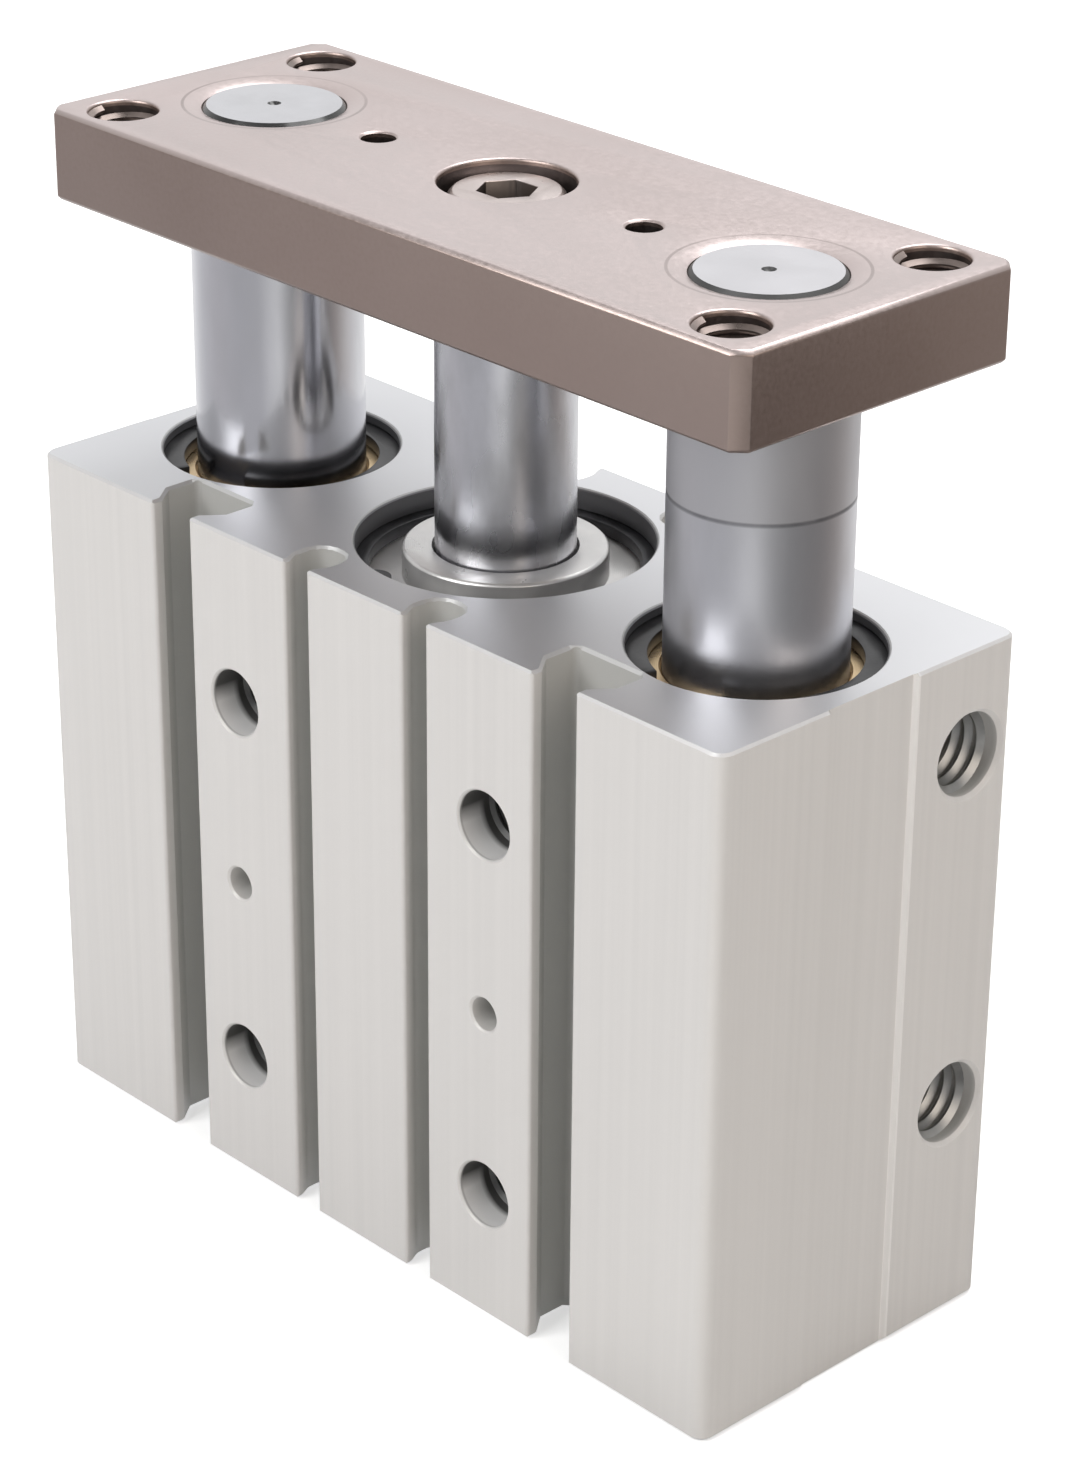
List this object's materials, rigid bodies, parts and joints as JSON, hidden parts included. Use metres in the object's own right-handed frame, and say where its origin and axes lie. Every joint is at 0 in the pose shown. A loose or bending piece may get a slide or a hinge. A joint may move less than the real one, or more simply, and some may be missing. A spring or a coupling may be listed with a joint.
{
  "type": "guided pneumatic cylinder",
  "caption": "Compact air cylinder with two guide rods beside its piston rod, a tooling plate across the rods and a slotted block body.",
  "frame": {"origin": "centre of the body's underside", "axes": "+X along the wide face, towards the ports; -Y out of the face with the T-slots; +Z along the rods, towards the plate"},
  "size_m": [0.112, 0.0454, 0.1247],
  "materials": {
    "anodised_body": "matt clear anodised extrusion",
    "cover_alloy": "turned",
    "plated_steel": "satin nickel plated steel",
    "hard_chrome": "ground and polished hard chrome",
    "bronze": "bearing bronze",
    "spring_steel": "phosphated spring steel",
    "screw_steel": "plated screw",
    "plug_steel": "plated plug",
    "ball_steel": "polished ball",
    "magnet": "bonded magnet",
    "black_rubber": "nitrile rubber",
    "bumper_rubber": "cushion rubber"
  },
  "bodies": {
    "housing": {"body": "anodised_body", "rod_cover": "cover_alloy", "rod_bush": "bronze", "rod_seal": "black_rubber", "rod_cover_gasket": "black_rubber", "rod_cover_ring": "spring_steel", "rod_bumper": "bumper_rubber", "head_cover": "cover_alloy", "head_cover_gasket": "black_rubber", "head_cover_ring": "spring_steel", "head_bumper": "bumper_rubber", "port_plug_lower": "plug_steel", "port_plug_upper": "plug_steel", "base_ball": "ball_steel", "back_ball": "ball_steel", "upper_bush_left": "bronze", "lower_bush_left": "bronze", "upper_guide_ring_left": "spring_steel", "lower_guide_ring_left": "spring_steel", "upper_bush_right": "bronze", "lower_bush_right": "bronze", "upper_guide_ring_right": "spring_steel", "lower_guide_ring_right": "spring_steel"},
    "slide": {"plate": "plated_steel", "plate_screw": "screw_steel", "piston": "cover_alloy", "piston_seal": "black_rubber", "piston_magnet": "magnet", "piston_rod": "hard_chrome", "guide_rod_left": "hard_chrome", "guide_rod_right": "hard_chrome"}
  },
  "joints": [
    {"name": "plate_slide", "type": "slide", "parent": "housing", "child": "slide", "axis": [0, 0, 1], "range_m": [-0.021, 0.029]}
  ]
}
